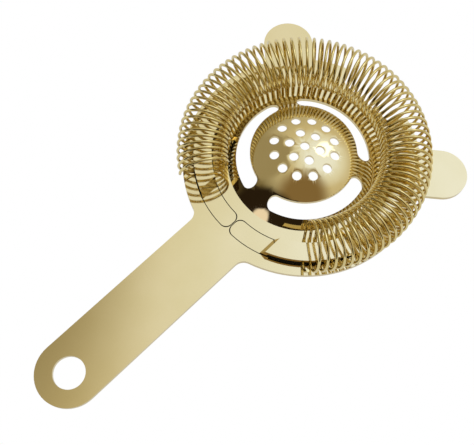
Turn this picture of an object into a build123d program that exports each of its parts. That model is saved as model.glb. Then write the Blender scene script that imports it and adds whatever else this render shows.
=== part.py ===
from build123d import *
import math
import os

# Hawthorne strainer: one stamped plate (handle, ring, raised perforated hub, two rim tabs, two
# lanced fingers) and one close-coiled wire spring that lies on the ring round the hub.
# Frame: origin on the hub's axis at the flat back face, +Z towards the spring, handle along -Y.
# All sizes are in millimetres and all angles in degrees, counted from +X towards +Y.

# ---- plate ----
sheet = 1.5                   # thickness of the stamped plate
plate_radius = 38.0           # radius of the round head
handle_width = 20.0
handle_length = 58.0          # edge of the head to the centre of the handle's round end
hang_hole_radius = 4.8
neck_fillet = 3.5             # inside corner where the handle meets the head
tab_radius = 8.2              # half the width of a rim tab, and its round end
tab_overhang = 6.2            # edge of the head to the centre of a tab's round end
tab_angle = 50.0              # each tab's angle from +Y
notch_half_width = 11.0       # cut-away in the head's front edge, between the tabs
notch_land = 5.7              # flat metal left between the hub's foot and the cut-away
notch_fillet = 2.6

# ---- lanced fingers ----
rim_land = 4.6                # flat metal left between a finger and the edge of the head
finger_width = 5.7
finger_offset = 1.5           # sideways shift of each finger's arc centre from the hub's axis
finger_slit = 0.25            # width of the cut round a finger
finger_gap = 0.3              # each tip's distance from the centre plane
finger_tip_fillet = 2.2
crease_distance = 13.4        # start of the crease, measured sideways from the centre plane
crease_run = 1.7              # length of the crease's slope
root_run = 1.2                # length of the slope where the finger joins the plate
finger_clearance = 0.1        # between the raised stretch's lower corners and the coils

# ---- raised hub: one drawn dome, perforated ----
foot_land = 2.9               # flat metal left between the hub's foot and the fingers
foot_run = 1.05               # how far the rounded foot reaches in under the dome's slope
foot_fillet = 2.2             # radius of the rounded foot
hub_rise = 10.8               # top of the dome above the plate
hub_sheet = 1.0               # thickness of the drawn metal
slot_land = 3.75              # metal left between the kidney slots and the hub's foot
slot_width = 4.35
slot_count = 3
slot_bridge = 19.5            # angle of metal left between two slots' ends
hole_radius = 1.45
hole_ring_pitch = 4.8         # radial step between the rings of holes
hole_land = 1.5               # metal left between the outer ring of holes and the slots

# ---- spring ----
wire = 0.9                    # wire diameter
coil_radius = 7.5             # centre of a turn to the wire's centre line
spring_offset = 0.9           # the ring of coils stands this far outside the fingers' middle line
rest_gap = 0.1                # running clearance between the spring and the plate
turns = 75
spring_sweep = 282.5          # angle that all the turns cover
turns_on_right = 7            # turns threaded on the right-hand finger
turns_on_left = 9             # turns threaded on the left-hand finger
coil_lean = 2.0               # how far the tops lean round the ring, as an angle
root_clearance = 0.5          # between a finger's root and the feet of the turns beside it
root_spread_turns = 2.5       # number of turns over which the feet's sideways shift dies away
cut_gap = 0.1                 # space between two stretches of the wire where the model divides it
corners = 8                   # straight-and-arc pieces in one turn
front_turns = 13              # turns in the three stretches at the front
group_turns = 4               # turns in each stretch between the front and an end
group_count = 5               # such stretches on each side

# ---- worked out from the sizes above, from the head's edge inwards ----
handle_reach = plate_radius + handle_length
tab_reach = plate_radius + tab_overhang
finger_inner_radius = plate_radius - rim_land - finger_width
finger_middle_radius = finger_inner_radius + finger_width / 2
hub_foot_radius = finger_inner_radius - foot_land
slot_outer_radius = hub_foot_radius - slot_land
slot_inner_radius = slot_outer_radius - slot_width
notch_floor = hub_foot_radius + notch_land
dome_foot_radius = hub_foot_radius - foot_run
dome_height = sheet + hub_rise
dome_radius = (dome_foot_radius ** 2 + hub_rise ** 2) / (2 * hub_rise)
hole_rings = int((slot_inner_radius - hole_radius - hole_land) / hole_ring_pitch)

# The coils hang round the raised fingers, so the fingers' height follows from the coils' bore.
ring_radius = finger_middle_radius + spring_offset
coil_height = sheet + rest_gap + wire / 2 + coil_radius
coil_bore = coil_radius - wire / 2 - finger_clearance
finger_overhang = finger_width / 2 + abs(finger_offset - spring_offset)
finger_lift = coil_height - math.sqrt(coil_bore ** 2 - finger_overhang ** 2)

# A turn's foot comes a quarter turn after its start and leans back, so a root passes a quarter
# turn before the next start. The spring is placed so that both roots lie at the same angle.
pitch = spring_sweep / turns  # angle from one turn to the next
foot_phase = 0.25
right_root_turn = turns_on_right - foot_phase
left_root_turn = turns - turns_on_left - foot_phase
spring_start = 90 + coil_lean - pitch * (right_root_turn + left_root_turn) / 2
root_angle = coil_lean - spring_start - pitch * right_root_turn   # below the X axis
root_foot = root_run + sheet  # half the length that the root's bends take along the finger


def slope_shift(run):
    """How far a bend in the sheet sets its upper face back along a slope of this length."""
    return sheet * math.tan(math.atan2(finger_lift, run) / 2)


# The feet on both sides of a root stand off it by its half length, the wire and a clearance.
root_reach = (root_run + slope_shift(root_run) + wire) / 2 + root_clearance
foot_step = math.degrees(root_reach / ring_radius) - pitch / 2
root_spread = foot_step / (math.tanh(2) * math.exp(-0.5 / root_spread_turns))


def polar(radius, angle, z=0.0):
    a = math.radians(angle)
    return Vector(radius * math.cos(a), radius * math.sin(a), z)


# ---------------------------------------------------------------- plate
def head_blank():
    """Flat blank of head, handle and tabs, with its corners rounded and the front cut-away."""
    handle = Pos(0, -handle_reach / 2) * Rectangle(handle_width, handle_reach)
    outline = Circle(plate_radius) + handle
    outline += Pos(0, -handle_reach) * Circle(handle_width / 2)
    for side in (-1, 1):
        bearing = Rot(0, 0, -side * tab_angle)
        outline += bearing * Pos(0, tab_reach / 2) * Rectangle(2 * tab_radius, tab_reach)
        outline += bearing * Pos(0, tab_reach) * Circle(tab_radius)
    depth = plate_radius + 1 - notch_floor
    outline -= Pos(0, notch_floor + depth / 2) * Rectangle(2 * notch_half_width, depth)
    blank = extrude(outline, amount=sheet)
    neck_y = -math.sqrt(plate_radius ** 2 - (handle_width / 2) ** 2)
    mouth_y = math.sqrt(plate_radius ** 2 - notch_half_width ** 2)
    corners_to_round = [(handle_width / 2, neck_y, neck_fillet),
                        (notch_half_width, mouth_y, notch_fillet),
                        (notch_half_width, notch_floor, notch_fillet)]
    for x, y, radius in corners_to_round:
        edges = [e for e in blank.edges().filter_by(Axis.Z)
                 if abs(abs(e.center().X) - x) < 0.01 and abs(e.center().Y - y) < 0.01]
        blank = fillet(edges, radius)
    blank -= Pos(0, -handle_reach) * Cylinder(hang_hole_radius, 4 * sheet)
    return blank


def hub_shell():
    """The drawn hub: a dome of even thickness with a rounded foot, as one turned sheet."""
    centre = dome_height - dome_radius

    def dome_arc(radius, foot_height):
        reach = math.sqrt(radius ** 2 - (foot_height - centre) ** 2)
        half = math.asin(reach / radius) / 2
        middle = (radius * math.sin(half), centre + radius * math.cos(half))
        return (0, centre + radius), middle, (reach, foot_height)

    over = dome_arc(dome_radius, sheet)
    under = dome_arc(dome_radius - hub_sheet, 0)
    join = hub_foot_radius + 2
    with BuildSketch(Plane.XZ) as section:
        with BuildLine():
            ThreePointArc(*over)
            Polyline(over[2], (join, sheet), (join, 0), under[2])
            ThreePointArc(*reversed(under))
            Line(under[0], over[0])
        make_face()
        feet = [v for v in section.vertices()
                if min(abs(v.X - arc[2][0]) + abs(v.Z - arc[2][1]) for arc in (over, under)) < 0.01]
        fillet(feet, foot_fillet)
    return revolve(section.sketch, Axis.Z)


def kidney_slots():
    """Cutters for the curved slots; the first bridge lies on the handle side."""
    middle = (slot_outer_radius + slot_inner_radius) / 2
    end_cap = math.degrees(slot_width / 2 / middle)
    step = 360 / slot_count
    cutters = []
    for k in range(slot_count):
        first = -90 + k * step + slot_bridge / 2 + end_cap
        last = first + step - slot_bridge - 2 * end_cap
        arc = CenterArc((0, 0), middle, first, last - first)
        slot = SlotArc(arc, slot_width)
        cutters.append(extrude(slot, amount=dome_height))
    return cutters


def dome_holes():
    """Cutters for the centre hole and the rings of holes round it."""
    places = [(0, 0)]
    for ring in range(1, hole_rings + 1):
        count = 6 * ring
        for k in range(count):
            spot = polar(ring * hole_ring_pitch, 90 + k * 360 / count)
            places.append((spot.X, spot.Y))
    return [Pos(x, y) * Cylinder(hole_radius, 3 * dome_height) for x, y in places]


def finger_outline(grow):
    """Plan of the right-hand finger, with its cut's width added all round when grow is set."""
    inner = finger_inner_radius - grow
    outer = finger_inner_radius + finger_width + grow
    tip_x = finger_gap - grow
    ring = Pos(finger_offset, 0) * (Circle(outer) - Circle(inner))
    beyond_tip = Pos(tip_x + outer, 0) * Rectangle(2 * outer, 4 * outer)
    before_root = Rot(0, 0, -root_angle) * Pos(0, root_foot - 2 * outer) * Rectangle(
        4 * outer, 4 * outer)
    strip = ring & beyond_tip & before_root
    tip = [v for v in strip.vertices() if abs(v.X - tip_x) < 0.01]
    return fillet(tip, finger_tip_fillet)


def side_band(lower, upper, plane):
    """A bent strip of sheet, seen edge-on and drawn out sideways past the finger."""
    outline = Polyline(*lower, *reversed(upper), close=True)
    return extrude(plane * make_face(outline), amount=plate_radius)


def right_finger():
    """The finger: flush tip, crease, raised stretch, and slope back down into the plate."""
    far = plate_radius
    raised = finger_lift + sheet
    column = extrude(finger_outline(0), amount=raised)
    crease_end = crease_distance + crease_run
    set_back = slope_shift(crease_run)
    tip_side = side_band(
        [(-1, 0), (crease_distance, 0), (crease_end, finger_lift), (far, finger_lift)],
        [(-1, sheet), (crease_distance - set_back, sheet), (crease_end - set_back, raised),
         (far, raised)], Plane.XZ)
    half_shift = slope_shift(root_run) / 2
    high, low = -root_run / 2, root_run / 2
    root_side = side_band(
        [(-far, finger_lift), (high - half_shift, finger_lift), (low - half_shift, 0), (far, 0)],
        [(-far, raised), (high + half_shift, raised), (low + half_shift, sheet), (far, sheet)],
        Plane.YZ)
    bearing = Rot(0, 0, -root_angle)
    split = Pos(0, -far - 2 * root_foot) * Box(4 * far, 2 * far, 4 * far)
    front = bearing * split
    return (column & tip_side & front) + ((column & bearing * root_side) - front)


def plate():
    body = head_blank() - Cylinder(hub_foot_radius + 1, 4 * sheet)
    body += hub_shell()
    for cutter in kidney_slots() + dome_holes():
        body -= cutter
    cut = extrude(finger_outline(finger_slit), amount=2 * sheet, both=True)
    finger = right_finger()
    for cutter, piece in ((cut, finger), (mirror(cut, Plane.YZ), mirror(finger, Plane.YZ))):
        body -= cutter
        body += piece
    return body


# ---------------------------------------------------------------- spring
def turn_angle(turn):
    """Angle round the ring at a number of turns from the start."""
    return spring_start + pitch * turn


def foot_shift(turn):
    """Sideways shift of a turn's foot, where a finger's root passes between two turns."""
    shift = 0.0
    for root_turn in (right_root_turn, left_root_turn):
        distance = turn - root_turn
        fade = math.exp(-abs(distance) / root_spread_turns)
        shift += root_spread * math.tanh(4 * distance) * fade
    return shift


def wire_corner(index):
    """Corner of the polygon that the wire's centre line is rounded from."""
    turn = (index + 0.5) / corners
    around = -2 * math.pi * turn
    reach = coil_radius / math.cos(math.pi / corners)
    foot = max(0.0, -math.sin(around)) ** 2
    angle = turn_angle(turn) + coil_lean * math.sin(around) + foot_shift(turn) * foot
    return polar(ring_radius + reach * math.cos(around), angle,
                 coil_height + reach * math.sin(around))


def spring_stretch(first_turn, last_turn):
    """The wire between two whole turns, cut square where it stands upright at the outside."""
    low, high = first_turn * corners, last_turn * corners
    points = [wire_corner(k) for k in range(low, high)]
    ends = []
    for before, after in ((wire_corner(low - 1), points[0]), (points[-1], wire_corner(high))):
        ends.append((before + after) / 2)
    start = ends[0] + (points[0] - ends[0]).normalized() * cut_gap / 2
    stop = ends[1] + (points[-1] - ends[1]).normalized() * cut_gap / 2
    path = FilletPolyline(start, *points, stop, radius=coil_radius * 0.93)
    section = Plane(path @ 0, z_dir=path % 0) * Circle(wire / 2)
    return sweep(section, path=path)


def spring_limits():
    """Node name with its first and last turn, from the right-hand end round to the left."""
    names = ["spring_end_right"]
    names += [f"spring_right_{k + 1}" for k in range(group_count)]
    names += ["spring_front_right", "spring_front_middle", "spring_front_left"]
    names += [f"spring_left_{group_count - k}" for k in range(group_count)]
    names += ["spring_end_left"]
    groups = [group_turns] * group_count
    fronts = [front_turns // 3, front_turns - 2 * (front_turns // 3), front_turns // 3]
    moving = groups + fronts + groups
    first = round((90 - spring_start) / pitch - sum(moving) / 2)
    counts = [first] + moving + [turns - first - sum(moving)]
    limits = {}
    start = 0
    for name, count in zip(names, counts):
        limits[name] = (start, start + count)
        start += count
    return limits


def main():
    os.makedirs("parts", exist_ok=True)
    nodes = {"strainer_plate": plate()}
    for name, (first, last) in spring_limits().items():
        nodes[name] = spring_stretch(first, last)
    for name, shape in nodes.items():
        shape.label = name
        export_step(shape, f"parts/{name}.step")


main()
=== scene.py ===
import math

import bmesh
import bpy
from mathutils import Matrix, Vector


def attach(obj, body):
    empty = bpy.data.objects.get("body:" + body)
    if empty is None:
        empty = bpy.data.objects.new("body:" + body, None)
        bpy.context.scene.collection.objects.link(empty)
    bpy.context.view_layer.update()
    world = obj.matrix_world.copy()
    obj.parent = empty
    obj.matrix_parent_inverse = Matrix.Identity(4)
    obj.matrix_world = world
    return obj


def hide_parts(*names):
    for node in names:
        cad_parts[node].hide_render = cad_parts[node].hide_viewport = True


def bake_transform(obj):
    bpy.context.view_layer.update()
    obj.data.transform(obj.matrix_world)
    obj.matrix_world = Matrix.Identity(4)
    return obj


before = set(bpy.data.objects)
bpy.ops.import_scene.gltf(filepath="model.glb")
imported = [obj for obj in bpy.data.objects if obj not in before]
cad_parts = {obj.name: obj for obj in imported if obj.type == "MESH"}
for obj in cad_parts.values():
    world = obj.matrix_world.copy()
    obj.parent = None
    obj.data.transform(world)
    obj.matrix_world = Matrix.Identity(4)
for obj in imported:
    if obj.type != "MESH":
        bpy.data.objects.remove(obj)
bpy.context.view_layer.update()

# Hawthorne strainer, spring side up. Lengths are in metres, angles in degrees from +X towards +Y.
MM = 0.001
PLATE = "strainer_plate"
FRONT = "front_coils"
SIDES = [f"side_coils_{k}" for k in range(1, 6)]

# ---- the spring's wire, with the sizes of the CAD model ----
WIRE_RADIUS = 0.45 * MM
COIL_RADIUS = 7.5 * MM
RING_RADIUS = 31.45 * MM
COIL_HEIGHT = 9.55 * MM
TURNS = 75
SPRING_SWEEP = 282.5
TURNS_ON_RIGHT = 7
TURNS_ON_LEFT = 9
FOOT_PHASE = 0.25             # a turn's foot comes this far after its start
COIL_LEAN = 2.0
ROOT_SPREAD = 2.43            # sideways shift of the feet beside a finger's root
ROOT_SPREAD_TURNS = 2.5
PITCH = SPRING_SWEEP / TURNS
ROOT_TURNS = (TURNS_ON_RIGHT - FOOT_PHASE, TURNS - TURNS_ON_LEFT - FOOT_PHASE)
SPRING_START = 90 + COIL_LEAN - PITCH * sum(ROOT_TURNS) / 2
STEPS_PER_TURN = 56
WIRE_SIDES = 14
RIGHT_CUTS = [7, 11, 15, 19, 23, 27, 31]        # turns where the wire's pieces meet, from the
LEFT_CUTS = [65, 60, 56, 52, 48, 44, 40]        # spring's ends to its front


def wire_centre(turn):
    """The coil's own centre and the wire's centre line at a number of turns from the start."""
    around = -2 * math.pi * turn
    shift = 0.0
    for root_turn in ROOT_TURNS:
        distance = turn - root_turn
        fade = math.exp(-abs(distance) / ROOT_SPREAD_TURNS)
        shift += ROOT_SPREAD * math.tanh(4 * distance) * fade
    foot = max(0.0, -math.sin(around)) ** 2
    base = SPRING_START + PITCH * turn
    angle = math.radians(base + COIL_LEAN * math.sin(around) + shift * foot)
    reach = RING_RADIUS + COIL_RADIUS * math.cos(around)
    height = COIL_HEIGHT + COIL_RADIUS * math.sin(around)
    middle = math.radians(base)
    centre = Vector((RING_RADIUS * math.cos(middle), RING_RADIUS * math.sin(middle), COIL_HEIGHT))
    return centre, Vector((reach * math.cos(angle), reach * math.sin(angle), height))


def wire_ring(mesh, turn, radius):
    """One ring of vertices round the wire."""
    step = 0.25 / STEPS_PER_TURN
    centre, point = wire_centre(turn)
    tangent = (wire_centre(turn + step)[1] - wire_centre(turn - step)[1]).normalized()
    outward = point - centre
    outward = (outward - tangent * outward.dot(tangent)).normalized()
    across = tangent.cross(outward)
    ring = []
    for k in range(WIRE_SIDES):
        a = 2 * math.pi * k / WIRE_SIDES
        ring.append(mesh.verts.new(point + (outward * math.cos(a) + across * math.sin(a)) * radius))
    return ring


def wire_piece(name, first, last):
    """The wire between two whole turns, as a closed tube."""
    mesh = bmesh.new()
    count = (last - first) * STEPS_PER_TURN
    rings = [wire_ring(mesh, first + k / STEPS_PER_TURN, WIRE_RADIUS) for k in range(count + 1)]
    for ring, after in zip(rings, rings[1:]):
        for k in range(WIRE_SIDES):
            n = (k + 1) % WIRE_SIDES
            mesh.faces.new((ring[k], ring[n], after[n], after[k])).smooth = True
    for ring in (rings[0][::-1], rings[-1]):
        mesh.faces.new(ring).smooth = False
    bmesh.ops.recalc_face_normals(mesh, faces=mesh.faces)
    data = bpy.data.meshes.new(name)
    mesh.to_mesh(data)
    mesh.free()
    for edge in data.edges:
        edge.use_edge_sharp = False
    piece = bpy.data.objects.new(name, data)
    bpy.context.scene.collection.objects.link(piece)
    piece.data.materials.append(wire_metal)
    return piece


# ---------------------------------------------------------------- materials
def node(tree, kind, place, **values):
    """A new node with its settings and its unlinked inputs set by name."""
    made = tree.nodes.new(kind)
    made.location = place
    for key, value in values.items():
        if hasattr(made, key):
            setattr(made, key, value)
        else:
            made.inputs[key.replace("_", " ").title()].default_value = value
    return made


LINE_STRETCH = (9000.0, 500.0, 9000.0)          # polishing lines run along the handle
LINE_DEPTH = 0.002 * MM


def gold(name, colour, pale, roughness, wave, wave_size):
    """Polished gold plate: faint tone clouds, uneven polish, fine polishing lines, soft waves."""
    material = bpy.data.materials.new(name)
    material.use_nodes = True
    tree = material.node_tree
    shader = tree.nodes["Principled BSDF"]
    shader.inputs["Metallic"].default_value = 1.0
    place = node(tree, "ShaderNodeTexCoord", (-1300, 0))

    clouds = node(tree, "ShaderNodeTexNoise", (-900, 300), Scale=55.0, Detail=4.0)
    tone = node(tree, "ShaderNodeValToRGB", (-600, 300))
    tone.color_ramp.elements[0].position = 0.35
    tone.color_ramp.elements[0].color = (*colour, 1)
    tone.color_ramp.elements[1].position = 0.68
    tone.color_ramp.elements[1].color = (*pale, 1)
    tree.links.new(place.outputs["Object"], clouds.inputs["Vector"])
    tree.links.new(clouds.outputs["Fac"], tone.inputs["Fac"])
    tree.links.new(tone.outputs["Color"], shader.inputs["Base Color"])

    smears = node(tree, "ShaderNodeTexNoise", (-900, 0), Scale=140.0, Detail=6.0)
    polish = node(tree, "ShaderNodeMapRange", (-600, 0))
    polish.inputs["To Min"].default_value = roughness * 0.7
    polish.inputs["To Max"].default_value = roughness * 1.5
    tree.links.new(place.outputs["Object"], smears.inputs["Vector"])
    tree.links.new(smears.outputs["Fac"], polish.inputs["Value"])
    tree.links.new(polish.outputs["Result"], shader.inputs["Roughness"])

    stretch = node(tree, "ShaderNodeMapping", (-1100, -300))
    stretch.inputs["Scale"].default_value = LINE_STRETCH
    lines = node(tree, "ShaderNodeTexNoise", (-900, -300), Scale=1.0, Detail=2.0)
    fine = node(tree, "ShaderNodeBump", (-600, -300))
    fine.inputs["Strength"].default_value = 0.25
    fine.inputs["Distance"].default_value = LINE_DEPTH
    tree.links.new(place.outputs["Object"], stretch.inputs["Vector"])
    tree.links.new(stretch.outputs["Vector"], lines.inputs["Vector"])
    tree.links.new(lines.outputs["Fac"], fine.inputs["Height"])

    swell = node(tree, "ShaderNodeTexNoise", (-900, -600), Scale=wave_size, Detail=1.0)
    soft = node(tree, "ShaderNodeBump", (-300, -300))
    soft.inputs["Strength"].default_value = 1.0
    soft.inputs["Distance"].default_value = wave
    tree.links.new(place.outputs["Object"], swell.inputs["Vector"])
    tree.links.new(swell.outputs["Fac"], soft.inputs["Height"])
    tree.links.new(fine.outputs["Normal"], soft.inputs["Normal"])
    tree.links.new(soft.outputs["Normal"], shader.inputs["Normal"])
    return material


plate_metal = gold("gold_plate", (0.84, 0.72, 0.41), (0.88, 0.76, 0.46), 0.05, 0.02 * MM, 60.0)
wire_metal = gold("gold_wire", (0.86, 0.71, 0.32), (0.90, 0.77, 0.38), 0.06, 0.002 * MM, 400.0)


# ---------------------------------------------------------------- plate
HOLE_EDGE = 0.25 * MM         # rounding of the stamped edges
SHARP_EDGE = 50               # an edge that turns more than this is rounded off
SMOOTH_EDGE = 35              # an edge that turns less than this is shaded smooth
FLAT_EDGE = 0.05              # an edge that turns less than this only divides a flat face
WELD = 0.001 * MM
FINGERS_OUT = 34.6 * MM       # beyond this radius no finger's slit is near an edge
HUB_SLOTS = 22.0 * MM         # the hub's slots and holes lie within this radius


def stamped_edge(edge):
    """True for a sharp edge of the outline, the hang hole, the hub's slots or its holes.

    The fingers and the corners' upright edges stay as they are."""
    if len(edge.link_faces) != 2 or edge.calc_face_angle(0) < math.radians(SHARP_EDGE):
        return False
    middle = (edge.verts[0].co + edge.verts[1].co) / 2
    radius = math.hypot(middle.x, middle.y)
    upright = abs(edge.verts[0].co.z - edge.verts[1].co.z) > 0.7 * edge.calc_length()
    return not upright and (radius > FINGERS_OUT or radius < HUB_SLOTS)


def plate():
    """The stamped plate, with its sharp edges rounded off as stamping and polishing leave them."""
    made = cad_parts[PLATE].copy()
    made.data = made.data.copy()
    made.name = "stamped_plate"
    made.parent = None
    for key in list(made.keys()):
        del made[key]
    bpy.context.scene.collection.objects.link(made)
    if "custom_normal" in made.data.attributes:
        made.data.attributes.remove(made.data.attributes["custom_normal"])
    mesh = bmesh.new()
    mesh.from_mesh(made.data)
    bmesh.ops.remove_doubles(mesh, verts=mesh.verts, dist=WELD)
    bmesh.ops.dissolve_limit(mesh, angle_limit=math.radians(FLAT_EDGE), verts=mesh.verts,
                             edges=mesh.edges, delimit=set())
    edges = [e for e in mesh.edges if stamped_edge(e)]
    bmesh.ops.bevel(mesh, geom=edges, offset=HOLE_EDGE, segments=3, profile=0.5,
                    affect="EDGES", clamp_overlap=True)
    for face in mesh.faces:
        face.smooth = True
    mesh.to_mesh(made.data)
    mesh.free()
    for edge in made.data.edges:
        edge.use_edge_sharp = False
    made.data.set_sharp_from_angle(angle=math.radians(SMOOTH_EDGE))
    weights = made.modifiers.new("even_shading", "WEIGHTED_NORMAL")
    weights.keep_sharp = True
    made.data.materials.clear()
    made.data.materials.append(plate_metal)
    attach(made, PLATE)
    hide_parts(PLATE)


plate()


def bending_piece(name, first, last, node_name):
    """A stretch of wire, baked into the scene's own space, in place of the CAD model's stretch,
    which is hidden.
    """
    piece = wire_piece(name, first, last)
    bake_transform(piece)
    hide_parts(node_name)


def spring():
    """The wire in stretches, cut where a stretch's body has its middle."""
    chain = [PLATE] + SIDES + [FRONT]
    for k in range(len(chain) - 1):
        stretch = f"spring_right_{k + 1}" if k < 5 else "spring_front_right"
        bending_piece(f"wire_right_{k + 1}", RIGHT_CUTS[k], RIGHT_CUTS[k + 1], stretch)
        stretch = f"spring_left_{k + 1}" if k < 5 else "spring_front_left"
        bending_piece(f"wire_left_{k + 1}", LEFT_CUTS[k + 1], LEFT_CUTS[k], stretch)
    for name, first, last, body, stretch in (
            ("wire_end_right", 0, RIGHT_CUTS[0], PLATE, "spring_end_right"),
            ("wire_front", RIGHT_CUTS[-1], LEFT_CUTS[-1], FRONT, "spring_front_middle"),
            ("wire_end_left", LEFT_CUTS[0], TURNS, PLATE, "spring_end_left")):
        piece = wire_piece(name, first, last)
        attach(piece, body)
        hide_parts(stretch)


spring()


# ---------------------------------------------------------------- camera, floor and light
CAMERA_PLACE = (0.05817, -0.08643, 0.21392)
CAMERA_TURN = (20.832, -0.264, 45.716)
CAMERA_LENS = 56.0
CAMERA_SHIFT = (-0.0028, 0.0010)


def camera():
    """The photograph's view: from above the handle's right side."""
    data = bpy.data.cameras.new("camera")
    data.lens = CAMERA_LENS
    data.sensor_width = 36.0
    data.clip_start = 0.01
    data.shift_x, data.shift_y = CAMERA_SHIFT
    made = bpy.data.objects.new("camera", data)
    made.location = CAMERA_PLACE
    made.rotation_euler = [math.radians(a) for a in CAMERA_TURN]
    bpy.context.scene.collection.objects.link(made)
    bpy.context.scene.camera = made


FLOOR_HALF = 3.0
FLOOR_DROP = 0.2 * MM
FLOOR_GLOW = 0.5
FLOOR_GREY = 0.30
SHADE_GREY = 0.05
# The sides of the shaded sector under the fingers: where its shade is nil and where it is full.
SHADE_INSIDE = (26.4 * MM, 27.2 * MM)
SHADE_OUTSIDE = (36.2 * MM, 35.6 * MM)
SHADE_FRONT = (-7 * MM, -9 * MM)


def floor():
    """A floor, white to the camera and a grey card in reflections, dark under the fingers."""
    half = FLOOR_HALF
    data = bpy.data.meshes.new("floor")
    data.from_pydata([(-half, -half, 0), (half, -half, 0), (half, half, 0), (-half, half, 0)], [],
                     [(0, 1, 2, 3)])
    made = bpy.data.objects.new("floor", data)
    made.location.z = -FLOOR_DROP
    bpy.context.scene.collection.objects.link(made)
    material = bpy.data.materials.new("white_floor")
    material.use_nodes = True
    shader = material.node_tree.nodes["Principled BSDF"]
    shader.inputs["Roughness"].default_value = 0.9
    shader.inputs["Emission Color"].default_value = (1, 1, 1, 1)
    tree = material.node_tree
    place = node(tree, "ShaderNodeTexCoord", (-1100, 0))
    reach = node(tree, "ShaderNodeVectorMath", (-900, 0), operation="LENGTH")
    parts = node(tree, "ShaderNodeSeparateXYZ", (-900, -200))
    tree.links.new(place.outputs["Object"], reach.inputs[0])
    tree.links.new(place.outputs["Object"], parts.inputs[0])
    shade = None
    # Under the fingers the floor is dark: a ring sector on the handle's side.
    sides = ((reach.outputs["Value"], SHADE_INSIDE), (reach.outputs["Value"], SHADE_OUTSIDE),
             (parts.outputs["Y"], SHADE_FRONT))
    for row, (source, (low, high)) in enumerate(sides):
        edge = node(tree, "ShaderNodeMapRange", (-700, -250 * row))
        edge.inputs["From Min"].default_value = low
        edge.inputs["From Max"].default_value = high
        tree.links.new(source, edge.inputs["Value"])
        if shade is None:
            shade = edge.outputs["Result"]
            continue
        both = node(tree, "ShaderNodeMath", (-500, -250 * row), operation="MULTIPLY")
        tree.links.new(shade, both.inputs[0])
        tree.links.new(edge.outputs["Result"], both.inputs[1])
        shade = both.outputs["Value"]
    strength = node(tree, "ShaderNodeMapRange", (-300, 0))
    strength.inputs["To Min"].default_value = FLOOR_GLOW
    strength.inputs["To Max"].default_value = 0.0
    tone = node(tree, "ShaderNodeMapRange", (-300, -300))
    tone.inputs["To Min"].default_value = FLOOR_GREY
    tone.inputs["To Max"].default_value = SHADE_GREY
    for target, socket in ((strength, "Emission Strength"), (tone, "Base Color")):
        tree.links.new(shade, target.inputs["Value"])
        tree.links.new(target.outputs["Result"], shader.inputs[socket])
    # The camera sees plain white wherever the floor isn't shaded; reflections see the grey card.
    white = node(tree, "ShaderNodeEmission", (0, 300))
    path = node(tree, "ShaderNodeLightPath", (-500, 500))
    open_floor = node(tree, "ShaderNodeMath", (-300, 300), operation="SUBTRACT")
    open_floor.inputs[0].default_value = 1.0
    seen = node(tree, "ShaderNodeMath", (-100, 500), operation="MULTIPLY")
    mix = node(tree, "ShaderNodeMixShader", (300, 200))
    tree.links.new(shade, open_floor.inputs[1])
    tree.links.new(path.outputs["Is Camera Ray"], seen.inputs[0])
    tree.links.new(open_floor.outputs["Value"], seen.inputs[1])
    tree.links.new(seen.outputs["Value"], mix.inputs["Fac"])
    tree.links.new(shader.outputs["BSDF"], mix.inputs[1])
    tree.links.new(white.outputs["Emission"], mix.inputs[2])
    tree.links.new(mix.outputs["Shader"], tree.nodes["Material Output"].inputs["Surface"])
    data.materials.append(material)


# The studio's light by direction: a broad ramp towards BRIGHT_SIDE, then patches laid over it.
BRIGHT_SIDE = (0.10, 0.45, 0.89)
SKY = [(0.00, (0.22, 0.17, 0.09)), (0.45, (0.03, 0.022, 0.01)), (0.60, (0.20, 0.16, 0.08)),
       (0.76, (0.50, 0.45, 0.32)), (0.90, (0.66, 0.59, 0.42)), (0.95, (0.84, 0.86, 0.85)),
       (0.985, (0.95, 1.04, 1.25))]
# Each patch: middle, cosines at its outer and inner edge, colour.
PATCHES = [((0.42, -0.36, 0.83), 0.80, 0.96, (0.24, 0.16, 0.07)),
           ((-0.62, -0.20, 0.75), 0.86, 0.93, (0.36, 0.31, 0.20)),
           ((0.22, -0.97, 0.10), 0.62, 0.74, (0.022, 0.014, 0.008)),
           ((0.00, -0.97, 0.22), 0.984, 0.992, (0.95, 0.86, 0.86)),
           ((0.04, 0.62, 0.78), 0.984, 0.996, (2.2, 2.2, 2.2))]


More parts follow.
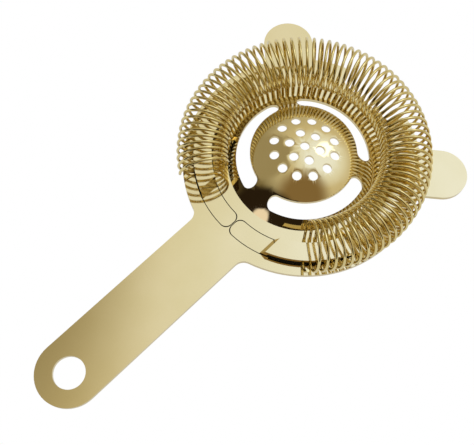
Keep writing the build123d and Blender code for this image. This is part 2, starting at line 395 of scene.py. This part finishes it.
def studio():
    """A soft studio: bright overhead and beyond the front, dark at the handle's side.

    Only reflections see it: the camera sees plain white behind the object."""
    world = bpy.data.worlds.new("studio")
    bpy.context.scene.world = world
    world.use_nodes = True
    tree = world.node_tree
    tree.nodes.clear()
    place = node(tree, "ShaderNodeTexCoord", (-900, 0))

    def towards(direction, row):
        dot = node(tree, "ShaderNodeVectorMath", (-700, row), operation="DOT_PRODUCT")
        dot.inputs[1].default_value = Vector(direction).normalized()
        tree.links.new(place.outputs["Generated"], dot.inputs[0])
        return dot.outputs["Value"]

    unit = node(tree, "ShaderNodeMapRange", (-500, 0))
    unit.inputs["From Min"].default_value = -1.0
    ramp = node(tree, "ShaderNodeValToRGB", (-300, 0))
    bands = ramp.color_ramp.elements
    while len(bands) < len(SKY):
        bands.new(0.5)
    for band, (position, colour) in zip(bands, SKY):
        band.position = position
        band.color = (*colour, 1)
    tree.links.new(towards(BRIGHT_SIDE, 0), unit.inputs["Value"])
    tree.links.new(unit.outputs["Result"], ramp.inputs["Fac"])
    colour = ramp.outputs["Color"]
    for row, (middle, outer, inner, tint) in enumerate(PATCHES):
        edge = node(tree, "ShaderNodeMapRange", (-500, -250 * (row + 1)))
        edge.interpolation_type = "SMOOTHSTEP"
        edge.inputs["From Min"].default_value = outer
        edge.inputs["From Max"].default_value = inner
        tree.links.new(towards(middle, -250 * (row + 1)), edge.inputs["Value"])
        over = node(tree, "ShaderNodeMix", (-100, -250 * (row + 1)), data_type="RGBA")
        for socket, source in (("Factor", edge.outputs["Result"]), ("A", colour)):
            wanted = [i for i in over.inputs if i.name == socket and i.enabled][0]
            tree.links.new(source, wanted)
        [i for i in over.inputs if i.name == "B" and i.enabled][0].default_value = (*tint, 1)
        colour = [o for o in over.outputs if o.enabled][0]
    light = node(tree, "ShaderNodeBackground", (100, 0))
    plain = node(tree, "ShaderNodeBackground", (100, -150))
    plain.inputs["Color"].default_value = (1, 1, 1, 1)
    path = node(tree, "ShaderNodeLightPath", (100, 300))
    mix = node(tree, "ShaderNodeMixShader", (350, 0))
    out = node(tree, "ShaderNodeOutputWorld", (550, 0))
    tree.links.new(colour, light.inputs["Color"])
    tree.links.new(path.outputs["Is Camera Ray"], mix.inputs["Fac"])
    tree.links.new(light.outputs["Background"], mix.inputs[1])
    tree.links.new(plain.outputs["Background"], mix.inputs[2])
    tree.links.new(mix.outputs["Shader"], out.inputs["Surface"])


camera()
floor()
studio()
bpy.context.scene.view_settings.view_transform = "Standard"
